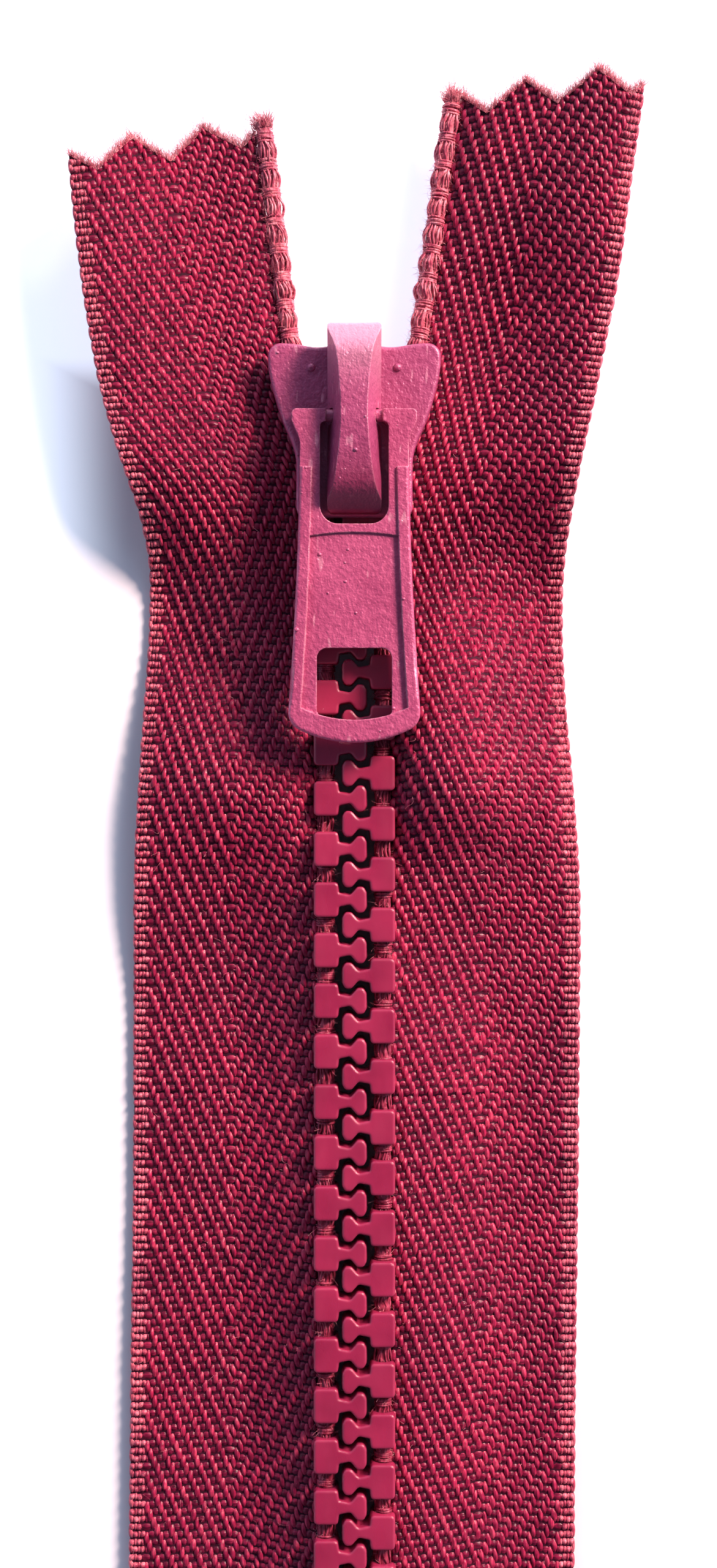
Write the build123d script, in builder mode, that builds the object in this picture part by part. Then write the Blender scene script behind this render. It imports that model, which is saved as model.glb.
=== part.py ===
from build123d import *

import math
import os

# A number 5 moulded-plastic zipper, closed end, with an auto-lock slider.
# Millimetres. +Y runs up the chain to the slider, +Z is the front face, and z = 0
# is the surface that the slider lies on. The chain's centre line is x = 0.

# ---- Chain -----------------------------------------------------------------------
PITCH = 3.68  # between the teeth of one side
TOOTH_PAIRS = 18  # pairs of teeth on each side, above its first tooth
FIRST_LEFT_Y = -68.46
FIRST_RIGHT_Y = FIRST_LEFT_Y + PITCH / 2
TOOTH_HALF_THICK = 1.30
TOOTH_DRAFT = 3.0  # degrees
TOOTH_EDGE = 0.13
BODY_OUT = 2.94  # outer face of a tooth, from the chain's centre line
BODY_IN = 1.22
BODY_HALF = 1.24
HEAD_TIP = 0.87  # how far a head passes the centre line

# ---- Cord and tape ---------------------------------------------------------------
CORD_X = 2.10
CORD_R = 0.75
CORD_CLEAR = 0.01
TAPE_WIDTH = 14.40  # from the middle of the cord to the selvedge
TAPE_THICK = 0.55
BAND_THICK = 0.65  # the denser band beside the cord
BAND_WIDTH = 5.40
END_Y = -94.30  # lower end of both cords
JOIN_GAP = 0.02  # between lengths of tape that bend apart
FAR = 200.0  # beyond every end of the zipper

FORK_Y = 65.30  # where the two sides start to part
MOUTH_Y = 75.50  # where they leave the slider
MOUTH_X = 4.75
FORK_R = 6.0
MOUTH_R = 5.0
LEFT_LEAN = 7.0
RIGHT_LEAN = 8.0
LEFT_TOP_Y = 91.90
RIGHT_TOP_Y = 93.80

PINK_PITCH = 5.30  # zigzag cut across the tape ends
PINK_DEPTH = 2.00

# ---- Where the chain hinges as it is opened to its end ----------------------------
LEFT_HINGE_Y = (-66.62, -44.54)
RIGHT_HINGE_Y = (-64.78, -42.70)

# ---- Stops -----------------------------------------------------------------------
BOTTOM_STOP = (-74.70, -69.95)
TOP_STOP_LENGTH = 3.40
TOP_STOP_GAP = 0.40

# ---- Slider ----------------------------------------------------------------------
SLIDER_Y = 62.30  # lower end
SLIDER_LENGTH = 12.50
SHIELD_THICK = 1.10
CHANNEL_HALF = 1.45  # half of the gap between the shields
MID_Z = CHANNEL_HALF + SHIELD_THICK  # height of the tape's middle plane
SLIDER_HALF = 4.20  # at the lower, parallel end
WING_HALF = 6.25
CHANNEL_SIDE = 3.14
FLANGE_GAP = 0.62  # half of the slot that the tape passes through
FLANGE_TOP = 10.0
SLIDER_CORNER = 0.70
WING_CORNER = 0.95
WING_DIP = 0.28  # how far the upper edge falls beside the cover
DIAMOND_TIP = 7.0
DIAMOND_HALF = 1.50
SHIELD_EDGE = 0.28
PIP_X = 3.12
PIP_Y = 10.70
PIP_R = 0.28

COVER_Y = (62.40, 75.95)
COVER_HALF = 1.93
COVER_CORNER = 0.40
COVER_TOP = 6.05  # above the tape's middle plane
RIDGE_WAIST = 0.95  # half of the flat top, where its two ridges come nearest
RIDGE_END = 1.66  # and at its ends
COVER_WALL = 0.55
CAVITY_HALF = 0.85
CAVITY_TOP = 4.95

PIVOT_Y = 69.35
PIVOT_Z = 3.58  # above the tape's middle plane
BAR_R = 0.45
CLAW_Y = 64.60
CLAW_HOLE = (1.7, 1.3)
LEAF_THICK = 0.25
LEAF_WIDTH = 1.40

# ---- Pull tab, measured down from the middle of its crossbar ----------------------
TAB_LENGTH = 23.40
TAB_HALF_THICK = 0.80
TAB_TILT = 1.5  # degrees, as it lies
TAB_EDGE = 0.25
SHOULDER_HALF = 4.47
SHOULDER_END = 0.40
FLANK = ((1.75, 3.88), (12.0, 4.17), (22.0, 4.80))  # how far down, and half the width
TAIL_CORNER = 1.40
SLOT_HALF = 2.45
SLOT_END = 7.75
SLOT_TOP_R = 0.40
SLOT_CORNER = 1.30
COLLAR_SINK = 0.18  # the slot's surround, below the rails
PANEL_SINK = 0.36  # the panel, below the rails
STEP = (8.35, 8.95)  # the arched step between them: at the middle and at the flanks
RAIL_FROM = 3.70
RAIL_WIDTH = 0.86
TAIL_BAR = (21.75, 20.35)  # inner edge of the tail's bar: at the middle and at the flanks
WINDOW_FROM = 16.60
WINDOW_HALF = 2.70
WINDOW_R = 0.75

os.makedirs("parts", exist_ok=True)


def save(part, name):
    """Name a finished piece and write it."""
    part.label = name
    export_step(part, f"parts/{name}.step")


# ---- Paths of the two stringers --------------------------------------------------
def lean_tangent(side):
    """How far a stringer leans out for each millimetre up, above the slider."""
    return math.tan(math.radians(LEFT_LEAN if side < 0 else RIGHT_LEAN))


def top_y(side):
    return LEFT_TOP_Y if side < 0 else RIGHT_TOP_Y


def offset_path(side, out):
    """Corner points of a line that keeps a distance out from a cord's middle."""
    spread = math.atan2(MOUTH_X - CORD_X, MOUTH_Y - FORK_Y)
    lean = math.atan(lean_tangent(side))
    fork_turn = out * math.tan(spread / 2)
    mouth_turn = (spread + lean) / 2
    reach = out / math.cos((spread - lean) / 2)
    rise = top_y(side) - MOUTH_Y
    points = [
        (CORD_X + out, END_Y),
        (CORD_X + out, FORK_Y - fork_turn),
        (MOUTH_X + reach * math.cos(mouth_turn), MOUTH_Y - reach * math.sin(mouth_turn)),
        (
            MOUTH_X + rise * math.tan(lean) + out * math.cos(lean),
            top_y(side) - out * math.sin(lean),
        ),
    ]
    return [(side * x, y) for x, y in points]


def cord_line(side):
    """The middle of one cord, from its lower end to its upper end."""
    return FilletPolyline(*offset_path(side, 0.0), radius=[FORK_R, MOUTH_R])


def place_on_cord(side, y):
    """Where a tooth stands whose distance along the cord is that of a height y."""
    with BuildLine() as path:
        cord_line(side)
    wire = path.wires()[0]
    along = (y - END_Y) / wire.length
    point = wire.position_at(along)
    heading = wire.tangent_at(along)
    turn = math.degrees(math.atan2(-heading.X, heading.Y))
    shift = Vector(-side * CORD_X, 0).rotate(Axis.Z, turn)
    return Location((point.X + shift.X, point.Y + shift.Y, MID_Z), (0, 0, turn))


def cord_solid(side, radius):
    """A round rod of a radius along the whole of one cord's path."""
    with BuildPart() as rod:
        with BuildLine() as path:
            cord_line(side)
        with BuildSketch(Plane(origin=path.line @ 0, x_dir=(1, 0, 0), z_dir=(0, 1, 0))):
            Circle(radius)
        sweep()
    return rod.part.moved(Location((0, 0, MID_Z)))


# ---- Teeth -----------------------------------------------------------------------
def half_outline():
    """Upper half of a left tooth's outline, as corners with their radii."""
    return [
        ((-BODY_OUT, BODY_HALF), 0.30),
        ((-BODY_IN, BODY_HALF), 0.25),
        ((-1.12, 0.50), 0.14),
        ((-0.30, 0.33), 0.30),
        ((0.22, 0.93), 0.30),
        ((0.66, 0.93), 0.30),
        ((HEAD_TIP, 0.55), 0.25),
    ]


def tooth_solid(side):
    """One moulded tooth, gripping its cord, with its head over the centre line."""
    upper = half_outline()
    lower = [((x, -y), radius) for (x, y), radius in reversed(upper)]
    corners = [((-side * x, y), radius) for (x, y), radius in upper + lower]
    with BuildPart() as tooth:
        with BuildSketch():
            with BuildLine():
                FilletPolyline(
                    *[point for point, _ in corners],
                    radius=[radius for _, radius in corners],
                    close=True,
                )
            make_face()
            spread = TOOTH_HALF_THICK * math.tan(math.radians(TOOTH_DRAFT))
            offset(amount=spread)
        extrude(amount=TOOTH_HALF_THICK, taper=TOOTH_DRAFT)
        fillet(tooth.faces().sort_by(Axis.Z)[-1].edges(), TOOTH_EDGE)
        mirror(about=Plane.XY)
        with Locations((side * (CORD_X + BODY_HALF), 0, 0)):
            Box(
                2 * BODY_HALF,
                4 * BODY_HALF,
                BAND_THICK + 2 * CORD_CLEAR,
                mode=Mode.SUBTRACT,
            )
    return tooth.part


def make_teeth(side, word, first_y):
    """All the teeth of one side: the first alone, and then two to a node."""
    tooth = tooth_solid(side)
    channel = cord_solid(side, CORD_R + CORD_CLEAR)
    groups = [(f"{word}_tooth_01", [0])]
    for pair in range(TOOTH_PAIRS):
        number = 2 * pair + 2
        groups.append((f"{word}_teeth_{number:02d}_{number + 1:02d}", [number - 1, number]))
    for name, steps in groups:
        with BuildPart() as teeth:
            with Locations(*[place_on_cord(side, first_y + step * PITCH) for step in steps]):
                add(tooth)
            add(channel, mode=Mode.SUBTRACT)
        save(teeth.part, name)


# ---- Cords -----------------------------------------------------------------------
def spans_between(hinges):
    """Names and heights of the lengths below, between and above a side's hinges."""
    low, high = hinges
    return [
        ("bottom", -FAR, low - JOIN_GAP / 2),
        ("lower", low + JOIN_GAP / 2, high - JOIN_GAP / 2),
        ("upper", high + JOIN_GAP / 2, FAR),
    ]


def make_cords(side, word, hinges):
    """One side's cord, in the lengths between its hinges."""
    rod = cord_solid(side, CORD_R)
    for span, low, high in spans_between(hinges):
        with BuildPart() as cord:
            add(rod)
            with Locations((0, (low + high) / 2, MID_Z)):
                Box(FAR, high - low, FAR, mode=Mode.INTERSECT)
        save(cord.part, f"cord_{word}_{span}")


# ---- Tapes -----------------------------------------------------------------------
def zigzag(start, end, first_peak, outward):
    """Corner points of a pinked edge between two points, its peaks facing outward."""
    run = Vector(*end) - Vector(*start)
    across = run.normalized()
    up = Vector(-across.Y, across.X)
    if up.Y * outward < 0:
        up = -up

    def corner(u):
        phase = abs((u - first_peak) / PINK_PITCH % 1.0 - 0.5) * 2
        point = Vector(*start) + across * u + up * (PINK_DEPTH * (phase - 1))
        return (point.X, point.Y)

    count = math.ceil(2 * run.length / PINK_PITCH) + 2
    turns = [first_peak + k * PINK_PITCH / 2 for k in range(count)]
    inside = [u for u in turns if 0.2 < u < run.length - 0.2]
    return [corner(u) for u in [0.0, *inside, run.length]]


def tape_outline(side, inner, outer, top_slope, top_peak):
    """Outline of one tape between two distances from its cord's middle."""
    inner_line = offset_path(side, inner)
    outer_line = offset_path(side, outer)
    fall = (outer - inner) * math.sin(math.radians(top_slope))
    lean = lean_tangent(side)
    drop = inner_line[-1][1] - outer_line[-1][1] - fall
    outer_top = (outer_line[-1][0] + side * drop * lean, outer_line[-1][1] + drop)
    top = zigzag(inner_line[-1], outer_top, top_peak, 1)
    bottom = zigzag(inner_line[0], outer_line[0], 0.0, -1)
    return [*reversed(inner_line[1:-1]), *bottom, *outer_line[1:-1], *reversed(top)]


def make_tapes(side, word, hinges, top_slope, top_peak):
    """One side's woven tape: a thin web with a denser band beside the cord."""
    edge = CORD_R + CORD_CLEAR
    outline = tape_outline(side, edge, TAPE_WIDTH, top_slope, top_peak)
    for span, low, high in spans_between(hinges):
        with BuildPart() as tape:
            with BuildSketch() as web:
                with BuildLine():
                    Polyline(*outline, close=True)
                make_face()
            extrude(amount=TAPE_THICK / 2, both=True)
            with BuildSketch() as band:
                with BuildLine():
                    Polyline(
                        *offset_path(side, edge),
                        *reversed(offset_path(side, BAND_WIDTH)),
                        close=True,
                    )
                make_face()
                add(web.sketch, mode=Mode.INTERSECT)
            extrude(amount=BAND_THICK / 2, both=True)
            with Locations((0, (low + high) / 2, 0)):
                Box(FAR, high - low, FAR, mode=Mode.INTERSECT)
        save(tape.part.moved(Location((0, 0, MID_Z))), f"tape_{word}_{span}")


# ---- Stops -----------------------------------------------------------------------
def make_bottom_stop():
    """The moulded block that joins both sides at the closed end."""
    low, high = BOTTOM_STOP
    with BuildPart() as stop:
        with BuildSketch():
            with Locations((0, (low + high) / 2)):
                RectangleRounded(2 * BODY_OUT, high - low, 0.8)
        extrude(amount=TOOTH_HALF_THICK, both=True)
        fillet(stop.faces().filter_by(Axis.Z).edges(), 0.3)
        with Locations((-CORD_X, low, 0), (CORD_X, low, 0)):
            Cylinder(
                CORD_R + CORD_CLEAR, 4 * (high - low), rotation=(90, 0, 0), mode=Mode.SUBTRACT
            )
        slot_x = CORD_X + BODY_HALF
        with Locations((-slot_x, low, 0), (slot_x, low, 0)):
            Box(
                2 * BODY_HALF,
                4 * (high - low),
                BAND_THICK + 2 * CORD_CLEAR,
                mode=Mode.SUBTRACT,
            )
    save(stop.part.moved(Location((0, 0, MID_Z))), "bottom_stop")


def make_top_stop(side, word, last_tooth_y):
    """A moulded stop above one side's last tooth, as wide as a tooth's body."""
    middle = last_tooth_y + BODY_HALF + TOP_STOP_GAP + TOP_STOP_LENGTH / 2
    with BuildPart() as stop:
        with BuildSketch():
            with Locations((side * (BODY_OUT + BODY_IN) / 2, 0)):
                RectangleRounded(BODY_OUT - BODY_IN, TOP_STOP_LENGTH, 0.4)
        extrude(amount=TOOTH_HALF_THICK, both=True)
        fillet(stop.faces().filter_by(Axis.Z).edges(), 0.2)
        with Locations((side * (CORD_X + BODY_HALF), 0, 0)):
            Box(
                2 * BODY_HALF,
                2 * TOP_STOP_LENGTH,
                BAND_THICK + 2 * CORD_CLEAR,
                mode=Mode.SUBTRACT,
            )
    blank = stop.part.moved(place_on_cord(side, middle))
    with BuildPart() as bored:
        add(blank)
        add(cord_solid(side, CORD_R + CORD_CLEAR), mode=Mode.SUBTRACT)
    save(bored.part, f"{word}_top_stop")


# ---- Slider ----------------------------------------------------------------------
def shield_edge_line():
    """Right half of a shield's outline, from the lower end to the upper."""
    corner = SLIDER_HALF - SLIDER_CORNER
    wing = WING_HALF - WING_CORNER
    brow = SLIDER_LENGTH - WING_DIP
    Line((0, 0), (corner, 0))
    RadiusArc((corner, 0), (SLIDER_HALF, SLIDER_CORNER), -SLIDER_CORNER)
    Line((SLIDER_HALF, SLIDER_CORNER), (SLIDER_HALF, 3.8))
    Spline(
        (SLIDER_HALF, 3.8),
        (5.15, 6.8),
        (5.88, 9.1),
        (WING_HALF, SLIDER_LENGTH - WING_CORNER),
        tangents=((0.05, 1), (0, 1)),
    )
    RadiusArc((WING_HALF, SLIDER_LENGTH - WING_CORNER), (wing, SLIDER_LENGTH), -WING_CORNER)
    Spline(
        (wing, SLIDER_LENGTH),
        (3.9, SLIDER_LENGTH - 0.12),
        (2.8, brow),
        (COVER_HALF, brow + 0.06),
        tangents=((-1, 0), (-1, 0.15)),
    )
    Line((COVER_HALF, brow + 0.06), (0, brow + 0.06))


def channel_side(up):
    """Half the channel's width at a distance up from the slider's lower end."""
    bend = FORK_Y - SLIDER_Y
    spread = (MOUTH_X - CORD_X) / (MOUTH_Y - FORK_Y)
    return CHANNEL_SIDE + max(0.0, up - bend) * spread


def make_slider_body():
    """Two shields joined by the diamond, with flanges that hold the teeth in."""
    outer_z = CHANNEL_HALF + SHIELD_THICK
    with BuildPart() as body:
        with BuildSketch():
            with BuildLine():
                shield_edge_line()
                mirror(about=Plane.YZ)
            make_face()
        extrude(amount=outer_z, both=True)
        rims = body.faces().filter_by(Axis.Z)
        fillet(rims.edges(), SHIELD_EDGE)
        with BuildSketch():
            with BuildLine():
                bend = FORK_Y - SLIDER_Y
                end = SLIDER_LENGTH + 2
                Polyline(
                    (channel_side(0), -1),
                    (channel_side(0), bend),
                    (channel_side(end), end),
                    (-channel_side(end), end),
                    (-channel_side(0), bend),
                    (-channel_side(0), -1),
                    close=True,
                )
            make_face()
        extrude(amount=CHANNEL_HALF, both=True, mode=Mode.SUBTRACT)
        with BuildSketch():
            with Locations((0, SLIDER_LENGTH / 2)):
                Rectangle(4 * WING_HALF, 2 * SLIDER_LENGTH)
        extrude(amount=FLANGE_GAP, both=True, mode=Mode.SUBTRACT)
        with BuildSketch():
            with Locations((0, FLANGE_TOP + SLIDER_LENGTH / 2)):
                Rectangle(4 * WING_HALF, SLIDER_LENGTH)
        extrude(amount=CHANNEL_HALF, both=True, mode=Mode.SUBTRACT)
        with BuildSketch():
            with BuildLine():
                FilletPolyline(
                    (0, DIAMOND_TIP),
                    (DIAMOND_HALF, SLIDER_LENGTH - 1.4),
                    (DIAMOND_HALF - 0.3, SLIDER_LENGTH - 0.6),
                    (-DIAMOND_HALF + 0.3, SLIDER_LENGTH - 0.6),
                    (-DIAMOND_HALF, SLIDER_LENGTH - 1.4),
                    radius=[0.12, 0.3, 0.15, 0.15, 0.3],
                    close=True,
                )
            make_face()
        extrude(amount=CHANNEL_HALF + 0.1, both=True)
        with Locations((0, CLAW_Y - SLIDER_Y, CHANNEL_HALF + SHIELD_THICK / 2)):
            Box(CLAW_HOLE[0], CLAW_HOLE[1], 2 * SHIELD_THICK, mode=Mode.SUBTRACT)
        with Locations((-PIP_X, PIP_Y, outer_z - 0.18), (PIP_X, PIP_Y, outer_z - 0.18)):
            Sphere(PIP_R)
    save(body.part.moved(Location((0, SLIDER_Y, MID_Z))), "slider_body")


def cover_side_profile(base):
    """Side view of the cover, on the YZ plane, arched and wrapped over the mouth."""
    low, high = COVER_Y
    lip = high - COVER_WALL
    FilletPolyline(
        (low, base),
        (low, base + 1.2),
        (low + 1.6, COVER_TOP - 0.55),
        (low + 6.5, COVER_TOP),
        (high - 2.0, COVER_TOP - 0.15),
        (high, COVER_TOP - 1.7),
        (high, CHANNEL_HALF),
        (lip, CHANNEL_HALF),
        (lip, base),
        radius=[0, 0.9, 2.0, 6.0, 2.0, 0.9, 0.15, 0, 0],
        close=True,
    )


def cover_cavity_line(base):
    """Side view of the hollow that the lock spring lies in."""
    low, high = COVER_Y
    Polyline(
        (low + 0.75, base - 0.1),
        (high - 1.0, base - 0.1),
        (high - 1.0, CAVITY_TOP - 0.9),
        (high - 2.4, CAVITY_TOP),
        (low + 3.0, CAVITY_TOP),
        (low + 0.75, base + 1.1),
        close=True,
    )


def make_slider_cover():
    """The arched cover over the lock spring, with a gate for the tab's crossbar."""
    base = CHANNEL_HALF + SHIELD_THICK + CORD_CLEAR
    middle = sum(COVER_Y) / 2
    length = COVER_Y[1] - COVER_Y[0]
    with BuildPart() as cover:
        with BuildSketch():
            with Locations((0, middle)):
                RectangleRounded(2 * COVER_HALF, length, COVER_CORNER)
        extrude(amount=2 * COVER_TOP)
        with BuildSketch(Plane.YZ):
            with BuildLine():
                cover_side_profile(base)
            make_face()
        extrude(amount=2 * COVER_HALF, both=True, mode=Mode.INTERSECT)
        # Each side slopes in to a ridge that curves, as the face of a wide cone.
        spread = (length / 2) ** 2 / (2 * (RIDGE_END - RIDGE_WAIST))
        rise = COVER_TOP - base
        slope = COVER_HALF - RIDGE_WAIST
        for sign in (-1, 1):
            with Locations((sign * (RIDGE_WAIST + spread), middle, base + rise / 2)):
                Cone(spread - slope, spread, rise, mode=Mode.SUBTRACT)
        with BuildSketch(Plane.YZ):
            with BuildLine():
                cover_cavity_line(base)
            make_face()
        extrude(amount=CAVITY_HALF, both=True, mode=Mode.SUBTRACT)
        gate = BAR_R + 0.12
        with BuildSketch(Plane.YZ):
            with Locations((PIVOT_Y, PIVOT_Z)):
                Circle(gate)
            with Locations((PIVOT_Y, (base + PIVOT_Z) / 2 - 0.2)):
                Rectangle(2 * gate, PIVOT_Z - base + 0.4)
        extrude(amount=2 * COVER_HALF, both=True, mode=Mode.SUBTRACT)
    save(cover.part.moved(Location((0, 0, MID_Z))), "slider_cover")


def make_lock_spring():
    """A leaf over the crossbar whose lower end turns down into a claw."""
    leaf_z = PIVOT_Z + BAR_R + 0.12
    tip_z = CHANNEL_HALF - 0.05
    with BuildPart() as spring:
        with BuildSketch(Plane.YZ):
            with BuildLine():
                FilletPolyline(
                    (CLAW_Y, tip_z),
                    (CLAW_Y, PIVOT_Z),
                    (CLAW_Y + 1.9, leaf_z + LEAF_THICK / 2),
                    (PIVOT_Y + 2.2, leaf_z + LEAF_THICK / 2),
                    (PIVOT_Y + 3.6, PIVOT_Z - 0.3),
                    radius=[0.5, 0.6, 0.6],
                )
            trace(line_width=LEAF_THICK)
        extrude(amount=LEAF_WIDTH / 2, both=True)
    save(spring.part.moved(Location((0, 0, MID_Z))), "lock_spring")


# ---- Pull tab --------------------------------------------------------------------
def flank(inset):
    """The right flank as one arc, set in from the tab's edge."""
    points = [(half - inset, -down) for down, half in FLANK]
    ThreePointArc(*points)
    return points


def strip_face(inset):
    """The tab's face between its flanks, set in from both."""
    with BuildSketch() as strip:
        with BuildLine():
            first, _, last = flank(inset)
            mirror(about=Plane.YZ)
            for x, y in (first, last):
                Line((-x, y), (x, y))
        make_face()
    return strip.sketch


def arched_face(middle, edge, far):
    """The tab's face from an arched line across it to a straight one at a far height."""
    half = FLANK[-1][1]
    with BuildSketch() as arched:
        with BuildLine():
            ThreePointArc((-half, -edge), (0, -middle), (half, -edge))
            Polyline((half, -edge), (half, -far), (-half, -far), (-half, -edge))
        make_face()
    return arched.sketch


def tab_face():
    """The tab's whole outline: straight above, with shoulders, flanks and a bowed tail."""
    neck_y, neck = FLANK[0]
    tail_y, tail = FLANK[-1]
    with BuildSketch() as outline:
        with BuildLine():
            Polyline((SHOULDER_HALF, BAR_R), (SHOULDER_HALF, -SHOULDER_END), (neck, -neck_y))
            flank(0)
            mirror(about=Plane.YZ)
            Line((-SHOULDER_HALF, BAR_R), (SHOULDER_HALF, BAR_R))
            ThreePointArc((tail, -tail_y), (0, -TAB_LENGTH), (-tail, -tail_y))
        make_face()
        for level, radius in ((-1, 0.35), (2, 0.6), (1, 1.5), (0, TAIL_CORNER)):
            fillet(vertices().group_by(Axis.Y)[level], radius)
    return outline.sketch


def make_pull_tab():
    """The tab, with a slot for the cover, side rails, a sunk panel and a window."""
    bar_half = SLOT_HALF - SLOT_TOP_R
    tail_bar = arched_face(*TAIL_BAR, 2 * TAB_LENGTH)
    with BuildPart() as tab:
        with BuildSketch(Plane.XY.offset(-TAB_HALF_THICK)):
            add(tab_face())
        extrude(amount=2 * TAB_HALF_THICK)
        fillet(tab.faces().filter_by(Axis.Z).edges(), TAB_EDGE)
        with BuildSketch(Plane.XY.offset(TAB_HALF_THICK - COLLAR_SINK)):
            with Locations((0, 1 - (1 + RAIL_FROM) / 2)):
                Rectangle(4 * SHOULDER_HALF, 1 + RAIL_FROM)
            add(strip_face(RAIL_WIDTH))
            add(tail_bar, mode=Mode.SUBTRACT)
        extrude(amount=TAB_HALF_THICK, mode=Mode.SUBTRACT)
        with BuildSketch(Plane.XY.offset(TAB_HALF_THICK - PANEL_SINK)):
            add(strip_face(RAIL_WIDTH))
            add(tail_bar, mode=Mode.SUBTRACT)
            add(arched_face(*STEP, 0), mode=Mode.SUBTRACT)
        extrude(amount=TAB_HALF_THICK, mode=Mode.SUBTRACT)
        with BuildSketch():
            with Locations((0, -(WINDOW_FROM + TAB_LENGTH) / 2)):
                Rectangle(2 * WINDOW_HALF, TAB_LENGTH - WINDOW_FROM)
            add(tail_bar, mode=Mode.SUBTRACT)
            fillet(vertices().group_by(Axis.Y)[-1], WINDOW_R)
            fillet(vertices().group_by(Axis.Y)[0], 0.3)
        extrude(amount=2 * TAB_HALF_THICK, both=True, mode=Mode.SUBTRACT)
        with BuildSketch():
            with BuildLine():
                FilletPolyline(
                    (-SLOT_HALF, -BAR_R),
                    (SLOT_HALF, -BAR_R),
                    (SLOT_HALF, -SLOT_END),
                    (-SLOT_HALF, -SLOT_END),
                    radius=[SLOT_TOP_R, SLOT_TOP_R, SLOT_CORNER, SLOT_CORNER],
                    close=True,
                )
            make_face()
            Rectangle(2 * bar_half, 3 * BAR_R)
        extrude(amount=2 * TAB_HALF_THICK, both=True, mode=Mode.SUBTRACT)
        Cylinder(BAR_R, 2 * bar_half + 0.6, rotation=(0, 90, 0))
    place = Location((0, PIVOT_Y, MID_Z + PIVOT_Z), (TAB_TILT, 0, 0))
    save(tab.part.moved(place), "pull_tab")


LAST_TOOTH = 2 * TOOTH_PAIRS * PITCH
make_teeth(-1, "left", FIRST_LEFT_Y)
make_teeth(1, "right", FIRST_RIGHT_Y)
make_cords(-1, "left", LEFT_HINGE_Y)
make_cords(1, "right", RIGHT_HINGE_Y)
make_tapes(-1, "left", LEFT_HINGE_Y, 8.5, 4.35)
make_tapes(1, "right", RIGHT_HINGE_Y, -3.5, 5.30)
make_bottom_stop()
make_top_stop(-1, "left", FIRST_LEFT_Y + LAST_TOOTH)
make_top_stop(1, "right", FIRST_RIGHT_Y + LAST_TOOTH)
make_slider_body()
make_slider_cover()
make_lock_spring()
make_pull_tab()
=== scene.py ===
import math

import bpy
import numpy as np
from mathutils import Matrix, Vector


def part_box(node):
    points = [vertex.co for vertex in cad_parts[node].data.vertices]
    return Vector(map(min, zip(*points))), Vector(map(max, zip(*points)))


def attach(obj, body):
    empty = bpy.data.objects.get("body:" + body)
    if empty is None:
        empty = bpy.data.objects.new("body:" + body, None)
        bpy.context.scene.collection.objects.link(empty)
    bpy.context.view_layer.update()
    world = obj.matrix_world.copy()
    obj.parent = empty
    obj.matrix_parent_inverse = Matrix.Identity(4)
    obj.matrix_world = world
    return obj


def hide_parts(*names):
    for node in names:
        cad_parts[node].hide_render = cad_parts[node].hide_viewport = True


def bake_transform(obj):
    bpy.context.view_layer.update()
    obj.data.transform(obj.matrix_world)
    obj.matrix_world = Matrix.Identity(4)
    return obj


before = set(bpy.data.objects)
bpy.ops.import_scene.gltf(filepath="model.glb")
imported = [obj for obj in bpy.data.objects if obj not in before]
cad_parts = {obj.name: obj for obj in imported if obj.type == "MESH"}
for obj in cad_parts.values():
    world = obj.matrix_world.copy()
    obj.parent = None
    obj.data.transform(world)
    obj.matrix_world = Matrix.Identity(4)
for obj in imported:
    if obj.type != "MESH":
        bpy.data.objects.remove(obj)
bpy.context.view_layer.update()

MM = 0.001
RNG = np.random.default_rng(7)

# ---- The frame, in millimetres -----------------------------------------------------
# A side is -1 on the left and 1 on the right.
WORD = {-1: "left", 1: "right"}
CORD_X = 2.10  # middle of a cord, where the chain is closed
CORD_R = 0.75
CORD_GRIP = 0.10  # how far the tape reaches into the cord
TAPE_WIDTH = 14.40  # from the middle of the cord to the selvedge
FORK_Y = 65.30  # where the two sides start to part
MOUTH_Y = 75.50  # where they leave the slider
MOUTH_X = 4.75
LEAN = {-1: 7.0, 1: 8.0}  # degrees that the free ends lean outward
TOP_Y = {-1: 91.90, 1: 93.80}
END_Y = -94.30
HINGES = {-1: (-66.62, -44.54), 1: (-64.78, -42.70)}
# Height of the tapes' middle plane, where the cords and the slider hold them.
MID_Z = float(np.mean([corner[2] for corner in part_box("tape_left_bottom")])) / MM

# The pips on the slider's wings.
PIP_X = 3.12
PIP_Y = 73.0
PIP_R = 0.31
PIP_RISE = 0.27
PIP_CLEAR = 0.45  # from a pip's middle to bare wing

# ---- Weave, in millimetres ---------------------------------------------------------
COLUMNS = 52  # warp yarns across a tape
COLUMN_SHARE = 1 / COLUMNS  # of the tape's width
TAPE_REACH = 104  # a length up a tape that is past its end
SHORTEST_FLOAT = 0.25  # left beside a pinked cut
ROW = 0.56  # from one weft yarn to the next
WARP_RISE = 0.29  # how far a yarn's crown stands above the cloth under it
WEFT_RISE = 0.19
WARP_HALF = 0.205  # half of a warp yarn's width
WEFT_HALF = 0.44 * ROW
WEB_HALF = 0.07  # half of the thickness of the cloth under the yarns
WEB_COLUMNS = 105
REST_Z = 0.40  # the cloth's middle surface where it lies on the floor
PINK_PITCH = 5.30  # of the zigzag cut
PINK_DEPTH = 2.00
PINK_PHASE = {-1: 3.80, 1: 4.75}  # how far from the cord a peak is
CUT_SLOPE = {-1: 12.0, 1: -2.0}  # degrees that the cut falls towards the selvedge


def smooth(low, high, value):
    """0 below low, 1 above high, and an even curve between."""
    share = np.clip((np.asarray(value, float) - low) / (high - low), 0, 1)
    return share * share * (3 - 2 * share)


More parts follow.
